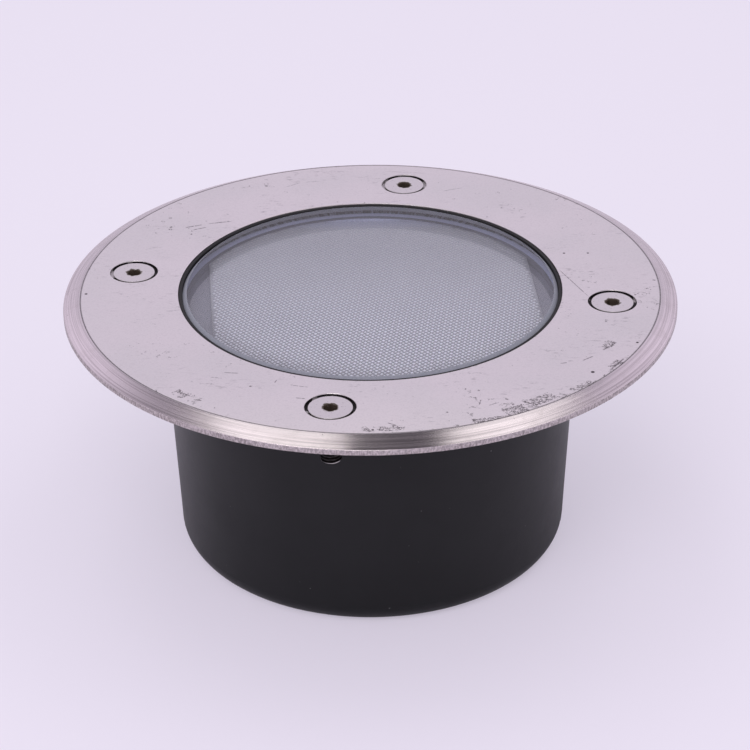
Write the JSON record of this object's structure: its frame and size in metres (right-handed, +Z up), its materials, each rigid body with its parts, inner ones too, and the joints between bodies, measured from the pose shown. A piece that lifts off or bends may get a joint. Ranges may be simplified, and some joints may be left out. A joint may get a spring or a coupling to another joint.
{
  "type": "in ground well light",
  "caption": "Round recessed ground light: bevelled stainless trim ring over flush glass and prismatic diffuser, in a tapered black cast pot with a rear cable gland.",
  "frame": {"origin": "centre of the pot's flat base, on the light's axis", "axes": "+Z up along the axis to the glass, +Y to the rear where the cable gland leaves, -Y to the front"},
  "size_m": [0.15, 0.15, 0.067],
  "materials": {
    "stainless_ring": "satin stainless steel with a turned bevel and fine wear",
    "stainless_screw": "stainless steel",
    "clear_glass": "clear tempered glass with ground edges",
    "black_silicone": "matt black silicone",
    "prism_acrylic": "translucent acrylic with a fine micro-prism pattern",
    "grey_moulding": "satin grey moulding",
    "plate_aluminium": "milled aluminium",
    "board_white": "white solder mask on aluminium",
    "phosphor": "phosphor-filled LED packages",
    "connector_white": "white nylon",
    "driver_white": "white moulded case",
    "zinc_sheet": "zinc-plated sheet",
    "zinc_screw": "zinc-plated steel",
    "block_white": "natural nylon",
    "brass_insert": "bare brass",
    "tinned_brass": "tinned brass",
    "black_nylon": "black nylon",
    "black_casting": "black satin paint on a die-cast pot",
    "wire_brown": "brown wire sleeve",
    "wire_blue": "blue wire sleeve",
    "wire_black": "black wire sleeve",
    "wire_red": "red wire sleeve",
    "wire_green_yellow": "green and yellow wire sleeve"
  },
  "bodies": {
    "root": {"trim_ring": "stainless_ring", "ring_screws": "stainless_screw", "glass_lens": "clear_glass", "ring_gasket": "black_silicone", "seat_gasket": "black_silicone", "diffuser": "prism_acrylic", "reflector": "grey_moulding", "heat_spreader": "plate_aluminium", "led_board": "board_white", "led_chips": "phosphor", "led_connector": "connector_white", "driver_case": "driver_white", "driver_clamp": "zinc_sheet", "terminal_block": "block_white", "terminal_inserts": "brass_insert", "terminal_screws": "zinc_screw", "earth_tag": "tinned_brass", "gland_body": "black_nylon", "gland_washer": "black_silicone", "gland_locknut": "black_nylon", "gland_seal": "black_silicone", "gland_nut": "black_nylon", "housing": "black_casting", "plate_screws": "zinc_screw", "board_screws": "zinc_screw", "clamp_screws": "zinc_screw", "terminal_fixings": "zinc_screw", "earth_screw": "brass_insert", "live_lead": "wire_brown", "neutral_lead": "wire_blue", "led_minus_lead": "wire_black", "led_plus_lead": "wire_red", "earth_lead": "wire_green_yellow"}
  },
  "joints": []
}
